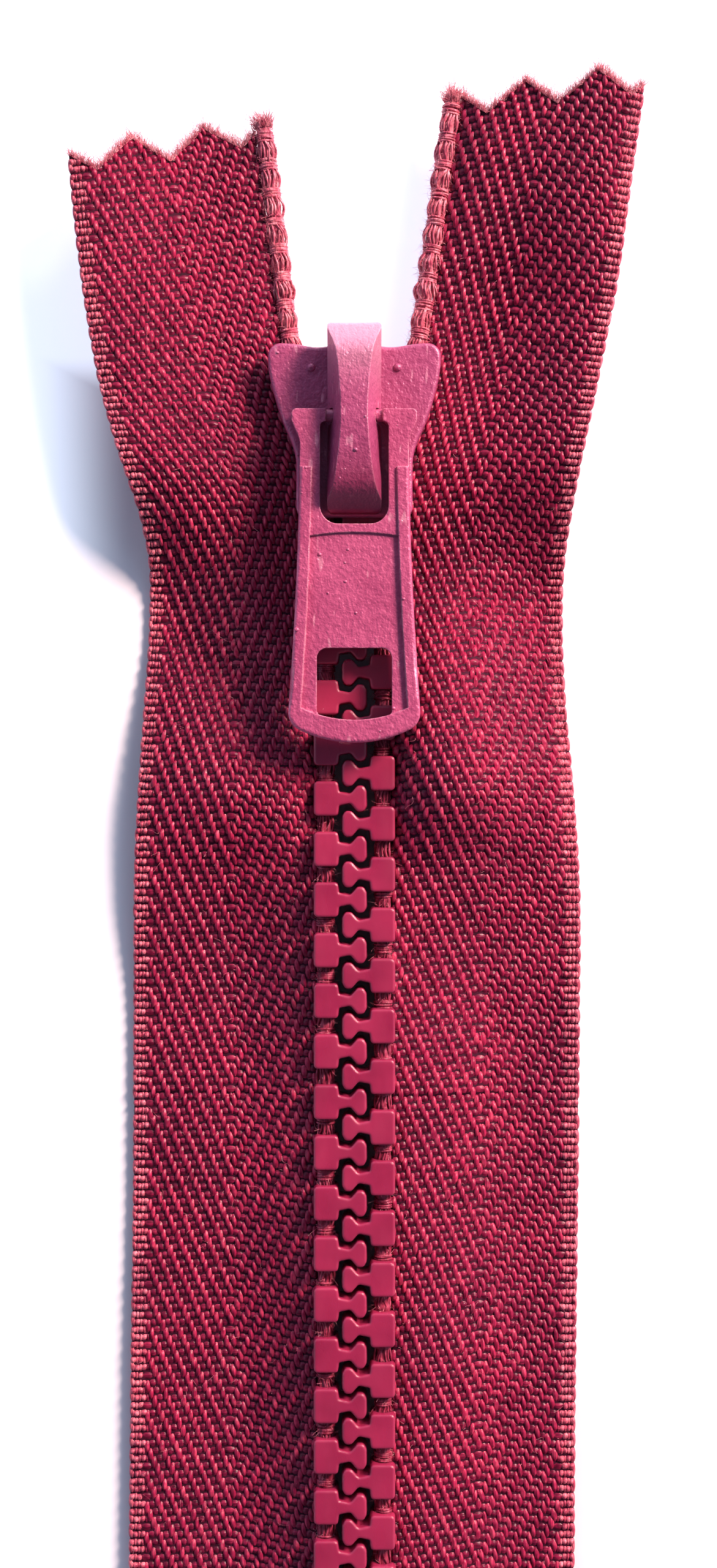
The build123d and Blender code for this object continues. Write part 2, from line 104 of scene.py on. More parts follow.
def curve_through(points, value):
    """A smooth line through a few (place, size) points, read at many places."""
    places, sizes = np.array(points, float).T
    slopes = np.gradient(sizes, places)
    at = np.clip(np.asarray(value, float), places[0], places[-1])
    low = np.clip(np.searchsorted(places, at) - 1, 0, len(places) - 2)
    step = places[low + 1] - places[low]
    share = (at - places[low]) / step
    rest = 1 - share
    start = sizes[low] * (1 + 2 * share) * rest**2 + slopes[low] * step * share * rest**2
    finish = (
        sizes[low + 1] * (3 - 2 * share) * share**2
        - slopes[low + 1] * step * rest * share**2
    )
    return start + finish


# ---- Where the stringers lie --------------------------------------------------------
SPREAD = math.degrees(math.atan2(MOUTH_X - CORD_X, MOUTH_Y - FORK_Y))
TRACK_STEP = 0.05
TRACK_END = 110.0  # past the cut, so that every span can be read from the track
BEND_HALF = 2.5  # half of the length over which a cord turns


def track(side):
    """Length, place and heading along one cord, from its lower end upward."""
    length = np.arange(END_Y - 1, TRACK_END, TRACK_STEP)
    mouth = FORK_Y + (MOUTH_Y - FORK_Y) / math.cos(math.radians(SPREAD))
    heading = SPREAD * smooth(FORK_Y - BEND_HALF, FORK_Y + BEND_HALF, length)
    heading += (LEAN[side] - SPREAD) * smooth(mouth - BEND_HALF, mouth + BEND_HALF, length)
    heading = np.radians(heading)
    x = CORD_X + np.cumsum(np.sin(heading)) * TRACK_STEP
    y = length[0] + np.cumsum(np.cos(heading)) * TRACK_STEP
    return length, x, y, heading


TRACKS = {side: track(side) for side in (-1, 1)}

# The selvedge's distance from the chain's centre line, by place along the chain.
SELVEDGE = {
    -1: [(-95, 16.5), (0, 16.5), (12, 16.35), (26, 16.3), (38, 16.1), (47, 15.6),
         (55, 15.15), (60, 15.15), (63, 15.7), (67, 17.0), (71, 18.15), (76, 19.15),
         (83, 20.1), (92, 20.9)],
    1: [(-95, 16.5), (3, 16.35), (14, 16.5), (26, 16.6), (35, 16.65), (43, 16.15),
        (49, 15.6), (55, 15.35), (60, 15.5), (65, 16.1), (72, 17.45), (79, 18.8),
        (86, 19.75), (95, 21.0)],
}  # fmt: skip
# How far the selvedge stands above the cord, by place along the chain.
LIFT = {
    -1: [(-95, -1.8), (0, -1.9), (20, -2.1), (28, -2.0), (36, -1.1), (42, -0.9),
         (48, -1.5), (53, -2.1), (57, -2.1), (66, 2.1), (72, 2.2), (83, 2.1), (95, 2.6)],
    1: [(-95, -1.8), (0, -1.9), (25, -1.9), (38, -2.1), (46, -2.2), (53, -2.2),
        (57, -2.1), (67, 2.6), (75, 3.3), (80, 3.5), (95, 3.9)],
}  # fmt: skip
# The shares of the tape's width between which it falls away from the cord.
FALL = {-1: (-0.12, 0.45), 1: (0.02, 0.78)}  # on the closed chain
FALL_BESIDE = (0.22, 1.0)  # beside the slider and above it, clear of its shields
# How far the tape arches out between the cord and the selvedge.
ARCH = {
    -1: [(-95, 0.0), (10, 0.1), (26, 0.5), (36, 0.2), (43, 1.5), (49, 1.0),
         (57, 0.0), (66, 0.5), (72, 0.3), (80, 0.5), (95, 0.0)],
    1: [(-95, 0.0), (8, 0.1), (20, 0.0), (31, -0.9), (37, 0.7), (43, 3.5), (50, 2.7),
        (57, -0.1), (67, 0.6), (73, 0.3), (77, 0.4), (83, 1.3), (95, 1.5)],
}  # fmt: skip


def tape_point(side, length, share):
    """Middle surface of a tape at a length up it and a share of the way out."""
    length, share = np.broadcast_arrays(length, share)
    at, x, y, heading = TRACKS[side]
    inner_x = np.interp(length, at, x)
    inner_y = np.interp(length, at, y)
    turn = np.interp(length, at, heading)
    edge = CORD_R - CORD_GRIP
    start_x = inner_x + edge * np.cos(turn)
    start_y = inner_y - edge * np.sin(turn)
    drop = (TAPE_WIDTH - edge) * math.sin(math.radians(LEAN[side]))
    end_y = inner_y - drop * smooth(56, 82, inner_y)
    end_x = curve_through(SELVEDGE[side], end_y)
    out_x = start_x + (end_x - start_x) * share
    out_y = start_y + (end_y - start_y) * share
    # 1 along the closed chain, 0 beside the slider and above it.
    closed = 1 - smooth(46, 58, out_y)
    begin, end = (
        beside + (low - beside) * closed for beside, low in zip(FALL_BESIDE, FALL[side])
    )
    lift = curve_through(LIFT[side], out_y) * smooth(begin, end, share) ** 1.2
    wave = 0.25 * np.sin(out_y * 0.21 + side) * smooth(-90, -70, out_y)
    bow = np.sin(np.pi * np.clip(share, 0, 1) ** 0.75)
    arch = (curve_through(ARCH[side], out_y) + wave) * bow
    return np.stack([side * out_x, out_y, np.maximum(MID_Z + lift + arch, REST_Z)], -1)


def tape_frame(side, length, share):
    """Point on a tape, and the unit directions along it, across it and out of it."""
    step = 0.05
    point = tape_point(side, length, share)
    along = tape_point(side, np.asarray(length) + step, share) - point
    across = tape_point(side, length, np.asarray(share) + step / TAPE_WIDTH) - point
    along /= np.linalg.norm(along, axis=-1, keepdims=True)
    across /= np.linalg.norm(across, axis=-1, keepdims=True)
    out = np.cross(across, along) * side
    out /= np.linalg.norm(out, axis=-1, keepdims=True)
    return point, along, across, out


def cut_length(side, share, end):
    """Length up the tape at which the pinked cut crosses it."""
    across = np.asarray(share, float) * (TAPE_WIDTH - CORD_R)
    phase = np.abs(((across - PINK_PHASE[side]) / PINK_PITCH) % 1.0 - 0.5) * 2
    at, _, y, _ = TRACKS[side]
    if end > 0:
        top = np.interp(TOP_Y[side], y, at)
        slope = math.tan(math.radians(LEAN[side] - CUT_SLOPE[side]))
        return top + across * slope + PINK_DEPTH * (phase - 1)
    return END_Y - PINK_DEPTH * (phase - 1)


# ---- Mesh helpers -------------------------------------------------------------------
def mesh_object(name, points, faces, material, smooth_faces=True):
    """A piece made of points in millimetres and quads."""
    mesh = bpy.data.meshes.new(name)
    points = np.asarray(points, float).reshape(-1, 3) * MM
    mesh.from_pydata(points.tolist(), [], np.asarray(faces).tolist())
    mesh.polygons.foreach_set("use_smooth", [smooth_faces] * len(mesh.polygons))
    mesh.materials.append(material)
    mesh.update()
    piece = bpy.data.objects.new(name, mesh)
    bpy.context.scene.collection.objects.link(piece)
    return piece


def grid_faces(rows, columns, flip=False):
    """Quads of a grid of points, row by row."""
    index = np.arange(rows * columns).reshape(rows, columns)
    quads = np.stack([index[:-1, :-1], index[:-1, 1:], index[1:, 1:], index[1:, :-1]], -1)
    quads = quads.reshape(-1, 4)
    return quads[:, ::-1] if flip else quads


def many_grids(blocks, flip):
    """Points and quads of many equal grids, given as (count, rows, columns, 3)."""
    count, rows, columns, _ = blocks.shape
    quads = grid_faces(rows, columns, flip)
    offsets = (np.arange(count) * rows * columns)[:, None, None]
    return blocks.reshape(-1, 3), (quads[None] + offsets).reshape(-1, 4)


def join_parts(parts):
    """One list of points and one of faces from several."""
    points, faces, base = [], [], 0
    for some, quads in parts:
        points.append(some)
        faces.append(quads + base)
        base += len(some)
    return np.concatenate(points), np.concatenate(faces)


# ---- Weave ----------------------------------------------------------------------------
# Columns are counted from the selvedge.
EDGE_COLUMNS = 4  # plain weave, in the selvedge
TURN_COLUMN = 27  # where the twill turns
LOOP_HALF = 0.50  # half of a selvedge loop's length along the edge
LOOP_R = 0.15


def warp_on_top(column, row):
    """Whether a warp yarn passes over a weft yarn on the front."""
    column, row = np.broadcast_arrays(column, row)
    outer = (row + column) % 4 < 2
    inner = (row + 2 * TURN_COLUMN - column) % 4 < 2
    plain = (row + column) % 2 < 1
    state = np.where(column < TURN_COLUMN, outer, inner)
    return np.where(column < EDGE_COLUMNS, plain, state)


def runs_of(state):
    """Starts and lengths of the runs of True along the last axis."""
    padded = np.zeros((state.shape[0], state.shape[1] + 2), bool)
    padded[:, 1:-1] = state
    change = np.diff(padded.astype(int), axis=1)
    line, start = np.nonzero(change == 1)
    _, stop = np.nonzero(change == -1)
    return line, start, stop - start


def yarn_blocks(side, face, middle, share, half_long, half_wide, rise, tilt, along_warp):
    """Small arched yarn surfaces: (count, rows, columns, 3) points."""
    rows, columns = (5, 4) if along_warp else (4, 4)
    b = np.linspace(-1, 1, rows)[None, :, None]
    a = np.linspace(-1, 1, columns)[None, None, :]
    count = len(middle)
    middle, share = middle[:, None, None], share[:, None, None]
    half_long, half_wide = half_long[:, None, None], half_wide[:, None, None]
    rise, tilt = rise[:, None, None], tilt[:, None, None]
    # A yarn narrows and dips towards the ends of its float, where it goes under.
    bulge = 1 - 0.42 * b**2 if along_warp else 1 - 0.34 * a**2
    up = half_long * b * (1 if along_warp else bulge)
    out = half_wide * a * (bulge if along_warp else 1) + tilt * b
    length = middle + up + np.zeros((count, rows, columns))
    place = share + out / TAPE_WIDTH + np.zeros((count, rows, columns))
    if along_warp:
        height = np.sqrt(np.clip(1 - 0.85 * a**2, 0, 1)) * (1 - 0.92 * np.abs(b) ** 2.8)
    else:
        height = np.sqrt(np.clip(1 - 0.9 * b**2, 0, 1)) * (1 - 0.62 * np.abs(a) ** 2.6)
    point, _, _, normal = tape_frame(side, length, place)
    level = WEB_HALF * 0.4 + rise * height
    return point + normal * (face * level)[..., None]


def jitter(count, size):
    """Random offsets about nought: as many as count, or an array of that shape."""
    return RNG.normal(0, size, count)


def warp_floats(side, face, low, high, rows, over):
    """The warp's floats on one face, and which of them are in the selvedge."""
    column, start, run = runs_of(over)
    middle = (rows[0] + start + run / 2) * ROW
    share = 1 - (column + 0.5) * COLUMN_SHARE
    top = cut_length(side, share, 1)
    bottom = cut_length(side, share, -1)
    # In one half of each tape the floats lean to the left, and are a little longer.
    against = (column >= TURN_COLUMN) == (side < 0)
    half = run * ROW / 2 * np.where(against, 0.92, 0.84)
    reach_high = np.minimum(middle + half, top)
    reach_low = np.maximum(middle - half, bottom)
    keep = (reach_high - reach_low > SHORTEST_FLOAT) & (middle >= low) & (middle < high)
    column, share = column[keep], share[keep]
    middle = (reach_high + reach_low)[keep] / 2
    half = (reach_high - reach_low)[keep] / 2
    count = len(middle)
    against = against[keep] & (column >= EDGE_COLUMNS)
    tilt = -side * np.where(against, 0.075, -0.01) + jitter(count, 0.022)
    wide = WARP_HALF * (1 + jitter(count, 0.08))
    rise = WARP_RISE * (1 + jitter(count, 0.09))
    middle = middle + jitter(count, 0.02)
    share = share + jitter(count, 0.0009)
    blocks = yarn_blocks(side, face, middle, share, half, wide, rise, tilt, True)
    return blocks, column < EDGE_COLUMNS


def weft_floats(side, face, low, high, rows, over):
    """The weft's floats on one face, and which of them are in the selvedge."""
    row, start, run = runs_of(~over.T)
    share = 1 - (start + run / 2) * COLUMN_SHARE
    middle = (rows[row] + 0.5) * ROW
    under_top = middle < cut_length(side, share, 1) - 0.1
    over_bottom = middle > cut_length(side, share, -1) + 0.1
    keep = under_top & over_bottom & (middle >= low) & (middle < high)
    share, middle, run = share[keep], middle[keep], run[keep]
    count = len(middle)
    wide = run * COLUMN_SHARE * TAPE_WIDTH / 2 * 0.92
    middle = middle + jitter(count, 0.015)
    rise = WEFT_RISE * (1 + jitter(count, 0.1))
    half, tilt = np.full(count, WEFT_HALF), np.zeros(count)
    blocks = yarn_blocks(side, face, middle, share, half, wide, rise, tilt, False)
    return blocks, share > 1 - EDGE_COLUMNS * COLUMN_SHARE


def weave(side, face, low, high):
    """Warp, weft and selvedge yarns of one face of a tape, between two lengths up it."""
    rows = np.arange(math.floor((END_Y - 3) / ROW), math.ceil(TAPE_REACH / ROW))
    columns = np.arange(COLUMNS)
    over = warp_on_top(columns[:, None], rows[None, :])
    if face < 0:
        over = ~over
    flip = side * face < 0
    warp, warp_edge = warp_floats(side, face, low, high, rows, over)
    weft, weft_edge = weft_floats(side, face, low, high, rows, over)
    edges = [many_grids(warp[warp_edge], flip), many_grids(weft[weft_edge], flip)]
    return {
        "warp": many_grids(warp[~warp_edge], flip),
        "weft": many_grids(weft[~weft_edge], flip),
        "edge": join_parts(edges),
    }


def selvedge_loops(side, low, high):
    """Weft loops round the tape's outer edge, one for every two rows."""
    middles = np.arange(math.ceil(low / ROW / 2), math.floor(high / ROW / 2)) * 2 * ROW
    top = cut_length(side, 1.0, 1)
    middles = middles[(middles < top - 0.4) & (middles > END_Y + 0.3)]
    b = np.linspace(-1, 1, 6)[None, :, None]
    turn = np.linspace(-0.6, 1.6, 7)[None, None, :] * np.pi
    count = len(middles)
    size = 1 + RNG.normal(0, 0.08, (count, 1, 1))
    fat = LOOP_R * size * np.sqrt(np.clip(1 - 0.8 * b**2, 0, 1))
    length = middles[:, None, None] + b * LOOP_HALF + np.zeros((count, 6, 7))
    out = fat * np.cos(turn) - 0.02
    up = fat * np.sin(turn) * 1.25
    point, _, across, normal = tape_frame(side, length, np.ones_like(length))
    blocks = point + across * out[..., None] + normal * up[..., None]
    return many_grids(blocks, flip=side > 0)


def web(side, low, high):
    """The cloth under the floats: a thin closed sheet with the pinked cuts."""
    count = max(int((high - low) / ROW), 8)
    shares = np.linspace(0, 1, WEB_COLUMNS)[None, :]
    bottom = np.maximum(cut_length(side, shares, -1), low)
    top = np.minimum(cut_length(side, shares, 1), high)
    steps = np.linspace(0, 1, count)[:, None]
    length = bottom + (top - bottom) * steps
    point, _, _, normal = tape_frame(side, length, shares + 0 * length)
    front = point + normal * WEB_HALF
    back = point - normal * WEB_HALF
    quads = grid_faces(count, WEB_COLUMNS, flip=side < 0)
    base = count * WEB_COLUMNS
    index = np.arange(base).reshape(count, WEB_COLUMNS)
    rim = np.concatenate([index[0, :-1], index[:-1, -1], index[-1, :0:-1], index[:0:-1, 0]])
    after = np.roll(rim, -1)
    around = np.stack([rim, rim + base, after + base, after], -1)
    if side < 0:
        around = around[:, ::-1]
    faces = np.concatenate([quads, quads[:, ::-1] + base, around])
    return np.concatenate([front.reshape(-1, 3), back.reshape(-1, 3)]), faces


# ---- Fibres ---------------------------------------------------------------------------
def fibres(starts, directions, lengths, bend, thick=0.022, steps=5):
    """Thin three-sided hairs that curl away from their starts."""
    count = len(starts)
    share = np.linspace(0, 1, steps)[None, :, None]
    sway = RNG.normal(0, 1, (count, 1, 3)) * bend * lengths[:, None, None]
    curl = RNG.normal(0, 1, (count, 1, 3)) * bend * 0.5 * lengths[:, None, None]
    line = (
        starts[:, None]
        + directions[:, None] * share * lengths[:, None, None]
        + sway * share**2
        + curl * np.sin(share * 5)
    )
    heading = np.gradient(line, axis=1)
    heading /= np.linalg.norm(heading, axis=-1, keepdims=True) + 1e-9
    one = np.cross(heading, [0.3, 0.2, 0.93])
    one /= np.linalg.norm(one, axis=-1, keepdims=True) + 1e-9
    two = np.cross(heading, one)
    angle = np.linspace(0, 2 * np.pi, 4)[None, None, :, None]
    radius = thick * (1 - 0.7 * share[..., None])
    ring = one[:, :, None] * np.cos(angle) + two[:, :, None] * np.sin(angle)
    return many_grids(line[:, :, None] + ring * radius, flip=False)


def cut_fibres(side, end, count):
    """Frayed ends of warp yarns along a pinked cut."""
    share = RNG.uniform(0.0, 1.0, count)
    at = cut_length(side, share, end)
    point, along, across, normal = tape_frame(side, at - end * 0.15, share)
    direction = along * end + across * RNG.normal(0, 0.35, (count, 1))
    direction += normal * RNG.normal(0.05, 0.25, (count, 1))
    start = point + normal * RNG.uniform(-0.2, 0.25, (count, 1))
    lengths = RNG.uniform(0.25, 0.75, count) * RNG.choice([1, 1, 1, 1.7], count)
    return fibres(start, direction, lengths, 0.22, thick=0.017)


def loose_fibres(side, low, high, count):
    """Stray filaments that stand a little proud of the cloth."""
    length = RNG.uniform(low, high, count)
    share = RNG.uniform(0.02, 0.99, count)
    point, along, across, normal = tape_frame(side, length, share)
    start = point + normal * 0.24
    direction = along * RNG.normal(0, 0.7, (count, 1)) + across * RNG.normal(0, 0.6, (count, 1))
    direction += normal * RNG.uniform(0.15, 0.6, (count, 1))
    return fibres(start, direction, RNG.uniform(0.2, 0.7, count), 0.35, thick=0.010)


# ---- Cords ------------------------------------------------------------------------------
STITCH = 2.06  # one wrap and one puff of the cord
WRAP_SHARE = 0.36  # of the stitch
WRAP_TURNS = 5
WRAP_R = 0.60  # from the cord's middle to the middle of a wrapping yarn
WRAP_YARN = 0.092  # half of its thickness
PUFF_YARNS = 15
PUFF_R = 0.50
PUFF_YARN = 0.088
CORE_R = 0.53
FUZZ_R = 0.62  # radius that the cord's fuzz starts at
FUZZ_OUT = 1.6  # radius of the points that it aims at


def cord_place(side, length, angle, radius):
    """Points round a cord, at a length up it; the angle turns from its outer side."""
    at, x, y, heading = TRACKS[side]
    turn = np.interp(length, at, heading)
    reach = radius * np.cos(angle)
    return np.stack(
        [
            side * (np.interp(length, at, x) + reach * np.cos(turn)),
            np.interp(length, at, y) - reach * np.sin(turn),
            MID_Z + radius * np.sin(angle),
        ],
        -1,
    )


def tubes(lines, thick):
    """Round yarns along many lines: (count, steps, 3) points, (count, steps) radii."""
    heading = np.gradient(lines, axis=1)
    heading /= np.linalg.norm(heading, axis=-1, keepdims=True) + 1e-9
    one = np.cross(heading, [0.31, 0.22, 0.92])
    one /= np.linalg.norm(one, axis=-1, keepdims=True) + 1e-9
    two = np.cross(heading, one)
    angle = np.linspace(0, 2 * np.pi, 6)[None, None, :, None]
    ring = one[:, :, None] * np.cos(angle) + two[:, :, None] * np.sin(angle)
    return many_grids(lines[:, :, None] + ring * thick[:, :, None, None], flip=False)


def stitches(low, high):
    """Middles of the stitches between two lengths up a cord."""
    return np.arange(math.ceil(low / STITCH), math.ceil(high / STITCH)) * STITCH


def cord_core(side, low, high):
    """The solid heart of a cord, which fills in behind its yarns."""
    length = np.arange(low, high, 0.3)
    angle = np.linspace(0, 2 * np.pi, 13)
    radius = CORE_R + 0.04 * np.sin(length * 3.1)
    points = cord_place(side, length[:, None], angle[None], radius[:, None])
    return points.reshape(-1, 3), grid_faces(len(length), 13, flip=side > 0)


def cord_wraps(side, low, high):
    """Tight turns of yarn that pinch the cord once in every stitch."""
    middle = stitches(low, high)
    spread = STITCH * WRAP_SHARE / WRAP_TURNS
    turns = np.arange(WRAP_TURNS) - (WRAP_TURNS - 1) / 2
    centre = (middle[:, None] + turns[None] * spread).ravel()
    centre = centre + jitter(len(centre), 0.02)
    angle = np.linspace(0, 2 * np.pi, 19)[None]
    lean = jitter(len(centre), 0.05)[:, None]
    lumps = WRAP_R + 0.04 * np.sin(angle * 2 + jitter(len(centre), 2.0)[:, None])
    lines = cord_place(side, centre[:, None] + lean * np.sin(angle), angle, lumps)
    return tubes(lines, np.full(lines.shape[:2], WRAP_YARN))


def cord_puffs(side, low, high):
    """Loose bundles that swell out between the wraps and gather under them."""
    middle = stitches(low, high) + STITCH / 2
    free = smooth(FORK_Y, MOUTH_Y, middle)
    base = np.linspace(0, 2 * np.pi, PUFF_YARNS, endpoint=False)
    start = (base[None] + jitter((len(middle), PUFF_YARNS), 0.10)).ravel()
    centre = np.repeat(middle, PUFF_YARNS) + jitter(len(start), 0.05)
    step = np.linspace(-1, 1, 7)[None]
    half = STITCH * (1 - WRAP_SHARE * 0.55) / 2 * (1 + jitter(len(start), 0.06))[:, None]
    plump = free * (1 + jitter(len(middle), 0.35))
    swell = (0.07 + 0.14 * np.repeat(plump, PUFF_YARNS) + jitter(len(start), 0.05))[:, None]
    radius = PUFF_R + swell * np.cos(step * np.pi / 2) ** 0.8
    twist = jitter(len(start), 0.22)[:, None]
    angle = start[:, None] + twist * step + 0.12 * np.sin(3 * step + start[:, None])
    lines = cord_place(side, centre[:, None] + half * step, angle, radius)
    thick = PUFF_YARN * (1 + jitter(len(start), 0.12))[:, None] * (1 - 0.35 * step**2)
    return tubes(lines, thick)


def cord_fibres(side, low, high, count):
    """Fuzz on a cord."""
    length = RNG.uniform(low, high, count)
    angle = RNG.uniform(0, 2 * np.pi, count)
    start = cord_place(side, length, angle, np.full(count, FUZZ_R))
    tip = cord_place(side, length + RNG.normal(0, 0.5, count), angle, np.full(count, FUZZ_OUT))
    direction = tip - start
    direction /= np.linalg.norm(direction, axis=-1, keepdims=True)
    return fibres(start, direction, RNG.uniform(0.12, 0.50, count), 0.45, thick=0.013)


def cord_tuft(side, end, at, count):
    """The frayed end of a cord."""
    angle = RNG.uniform(0, 2 * np.pi, count)
    radius = RNG.uniform(0.0, FUZZ_R, count)
    start = cord_place(side, np.full(count, at - end * 0.35), angle, radius)
    tip = cord_place(side, np.full(count, at + end * 0.9), angle, radius * 2.0)
    direction = tip - start
    direction /= np.linalg.norm(direction, axis=-1, keepdims=True)
    return fibres(start, direction, RNG.uniform(0.5, 1.25, count), 0.30, thick=0.026, steps=7)


# ---- Materials -----------------------------------------------------------------------
class Shader:
    """A node tree being built for one material."""

    def __init__(self, name):
        self.material = bpy.data.materials.new(name)
        self.material.use_nodes = True
        self.tree = self.material.node_tree
        self.tree.nodes.clear()
        self.out = self.tree.nodes.new("ShaderNodeOutputMaterial")
        self.surface = self.tree.nodes.new("ShaderNodeBsdfPrincipled")
        self.link(self.surface, "BSDF", self.out, "Surface")
        self.where = self.tree.nodes.new("ShaderNodeTexCoord")

    def link(self, source, output, target, socket):
        self.tree.links.new(source.outputs[output], target.inputs[socket])

    def mapped(self, scale):
        node = self.tree.nodes.new("ShaderNodeMapping")
        node.inputs["Scale"].default_value = scale
        self.link(self.where, "Object", node, "Vector")
        return node

    def noise(self, scale, detail=2.0, stretch=(1, 1, 1), rough=0.5):
        node = self.tree.nodes.new("ShaderNodeTexNoise")
        node.inputs["Scale"].default_value = scale
        node.inputs["Detail"].default_value = detail
        node.inputs["Roughness"].default_value = rough
        self.link(self.mapped(stretch), "Vector", node, "Vector")
        return node

    def ramp(self, source, output, stops):
        node = self.tree.nodes.new("ShaderNodeValToRGB")
        ramp = node.color_ramp
        while len(ramp.elements) < len(stops):
            ramp.elements.new(0.5)
        for element, (place, colour) in zip(ramp.elements, stops):
            element.position = place
            element.color = (*colour, 1.0)
        self.link(source, output, node, "Fac")
        return node

    def mix(self, first, second, share, kind="MIX"):
        node = self.tree.nodes.new("ShaderNodeMix")
        node.data_type = "RGBA"
        node.blend_type = kind
        for socket, value in ((6, first), (7, second)):
            if isinstance(value, tuple):
                node.inputs[socket].default_value = (*value, 1.0)
            else:
                self.tree.links.new(value, node.inputs[socket])
        if isinstance(share, float):
            node.inputs[0].default_value = share
        else:
            self.tree.links.new(share, node.inputs[0])
        return node.outputs[2]

    def math(self, kind, *values):
        node = self.tree.nodes.new("ShaderNodeMath")
        node.operation = kind
        for socket, value in zip(node.inputs, values):
            if isinstance(value, (int, float)):
                socket.default_value = value
            else:
                self.tree.links.new(value, socket)
        return node.outputs[0]

    def remap(self, value, low, high, kind="SMOOTHSTEP"):
        """0 at low and before it, 1 at high and past it; low may be the larger."""
        node = self.tree.nodes.new("ShaderNodeMapRange")
        node.interpolation_type = kind
        node.inputs["From Min"].default_value = low
        node.inputs["From Max"].default_value = high
        self.tree.links.new(value, node.inputs["Value"])
        return node.outputs["Result"]

    def along(self, axis):
        """How far a point lies along an axis of the zipper, in metres."""
        node = self.tree.nodes.new("ShaderNodeSeparateXYZ")
        self.link(self.where, "Object", node, "Vector")
        return node.outputs[axis]

    def bump(self, height, strength, distance, under=None):
        node = self.tree.nodes.new("ShaderNodeBump")
        node.inputs["Strength"].default_value = strength
        node.inputs["Distance"].default_value = distance
        self.tree.links.new(height, node.inputs["Height"])
        if under is not None:
            self.tree.links.new(under, node.inputs["Normal"])
        return node.outputs["Normal"]

    def rounded(self, radius):
        """The surface's direction, as if its edges were rounded."""
        node = self.tree.nodes.new("ShaderNodeBevel")
        node.samples = 6
        node.inputs["Radius"].default_value = radius
        return node.outputs["Normal"]

    def edges(self, rounded):
        """1 along the edges that the rounding bends, 0 away from them."""
        here = self.tree.nodes.new("ShaderNodeNewGeometry")
        dot = self.tree.nodes.new("ShaderNodeVectorMath")
        dot.operation = "DOT_PRODUCT"
        self.tree.links.new(rounded, dot.inputs[0])
        self.link(here, "Normal", dot, 1)
        return self.remap(dot.outputs["Value"], 0.99, 0.86)

    def finish(self, colour, rough, normal=None, **values):
        self.tree.links.new(colour, self.surface.inputs["Base Color"])
        if isinstance(rough, float):
            self.surface.inputs["Roughness"].default_value = rough
        else:
            self.tree.links.new(rough, self.surface.inputs["Roughness"])
        if normal is not None:
            self.tree.links.new(normal, self.surface.inputs["Normal"])
        for name, value in values.items():
            self.surface.inputs[name.replace("_", " ")].default_value = value
        return self.material


def yarn_material(name, dark, middle, light, stretch, chain_shade=None):
    """Polyester yarn: fine filaments along it with painted glints, and a different tone from yarn
    to yarn; a cord may also get painted shade along the chain.
    """
    shader = Shader(name)
    tone = shader.noise(1900, 1.0)
    patch = shader.noise(160, 2.0)
    colours = shader.ramp(tone, "Fac", [(0.32, dark), (0.50, middle), (0.72, light)])
    wide = shader.ramp(patch, "Fac", [(0.35, (0.86, 0.86, 0.90)), (0.68, (1.12, 1.06, 1.04))])
    filament = shader.noise(9000, 2.0, stretch)
    # Filament streaks, partly painted glints: the raised filaments turn up to half again lighter
    # than the dye.
    filament_streak_and_glint = shader.ramp(filament, "Fac", [(0.32, (0.45, 0.40, 0.45)), (0.68, (1.50, 1.60, 1.45))])
    colour = shader.mix(colours.outputs[0], wide.outputs[0], 1.0, "MULTIPLY")
    colour = shader.mix(colour, filament_streak_and_glint.outputs[0], 0.8, "MULTIPLY")
    if chain_shade:
        # Painted shade: the cord is darker below the slider's mouth, where the teeth and the
        # slider shade it, than on its free ends.
        low = shader.remap(shader.along("Y"), MOUTH_Y * MM, (FORK_Y + 3) * MM, "LINEAR")
        colour = shader.mix(colour, chain_shade, low, "MULTIPLY")
    normal = shader.bump(filament.outputs["Fac"], 0.55, 0.00006)
    return shader.finish(colour, 0.32, normal, Specular_IOR_Level=0.25)


def web_material():
    """The deep gaps between the yarns: the cloth under them is painted near black as shade."""
    shader = Shader("tape_gap_shade")
    tone = shader.noise(2600, 2.0)
    colours = shader.ramp(tone, "Fac", [(0.3, (0.020, 0.001, 0.008)), (0.7, (0.06, 0.003, 0.02))])
    normal = shader.bump(tone.outputs["Fac"], 0.4, 0.00008)
    return shader.finish(colours.outputs[0], 0.8, normal, Specular_IOR_Level=0.2)


def tooth_material():
    """Moulded acetal with a fine satin skin."""
    shader = Shader("moulded_teeth")
    cloud = shader.noise(260, 3.0)
    colours = shader.ramp(
        cloud, "Fac", [(0.3, (0.275, 0.014, 0.058)), (0.7, (0.38, 0.023, 0.080))]
    )
    grain = shader.noise(5200, 2.0)
    flow = shader.noise(700, 2.0, (1, 0.35, 1))
    rough = shader.ramp(flow, "Fac", [(0.35, (0.25, 0.25, 0.25)), (0.7, (0.38, 0.38, 0.38))])
    waves = shader.bump(flow.outputs["Fac"], 0.30, 0.00010, shader.rounded(0.00028))
    normal = shader.bump(grain.outputs["Fac"], 0.12, 0.00003, waves)
    return shader.finish(
        colours.outputs[0], rough.outputs[0], normal,
        Subsurface_Weight=0.10, Subsurface_Scale=0.0006, Specular_IOR_Level=0.75,
    )


